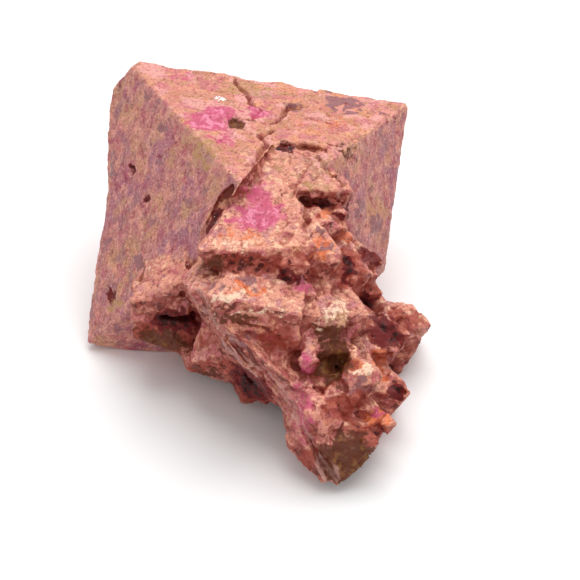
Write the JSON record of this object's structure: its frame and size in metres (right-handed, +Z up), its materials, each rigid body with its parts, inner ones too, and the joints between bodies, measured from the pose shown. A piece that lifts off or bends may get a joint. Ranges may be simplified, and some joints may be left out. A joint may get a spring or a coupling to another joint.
{
  "type": "spinel crystal",
  "caption": "Natural crusted pink spinel: a large octahedron with a stepped arm of smaller octahedra grown out of its front, lying on its broken base.",
  "frame": {"origin": "middle of the bounding box, on the surface that the group lies on", "axes": "+Z up, -Y out of the front, towards the tip of the arm, +X to the right"},
  "size_m": [0.0408, 0.052, 0.0266],
  "materials": {
    "crusted_spinel": "natural rough crust, salmon and tan over mauve-pink spinel, with glassy patches and maroon hollows"
  },
  "bodies": {
    "root": {"spinel_crystal": "crusted_spinel"}
  },
  "joints": []
}
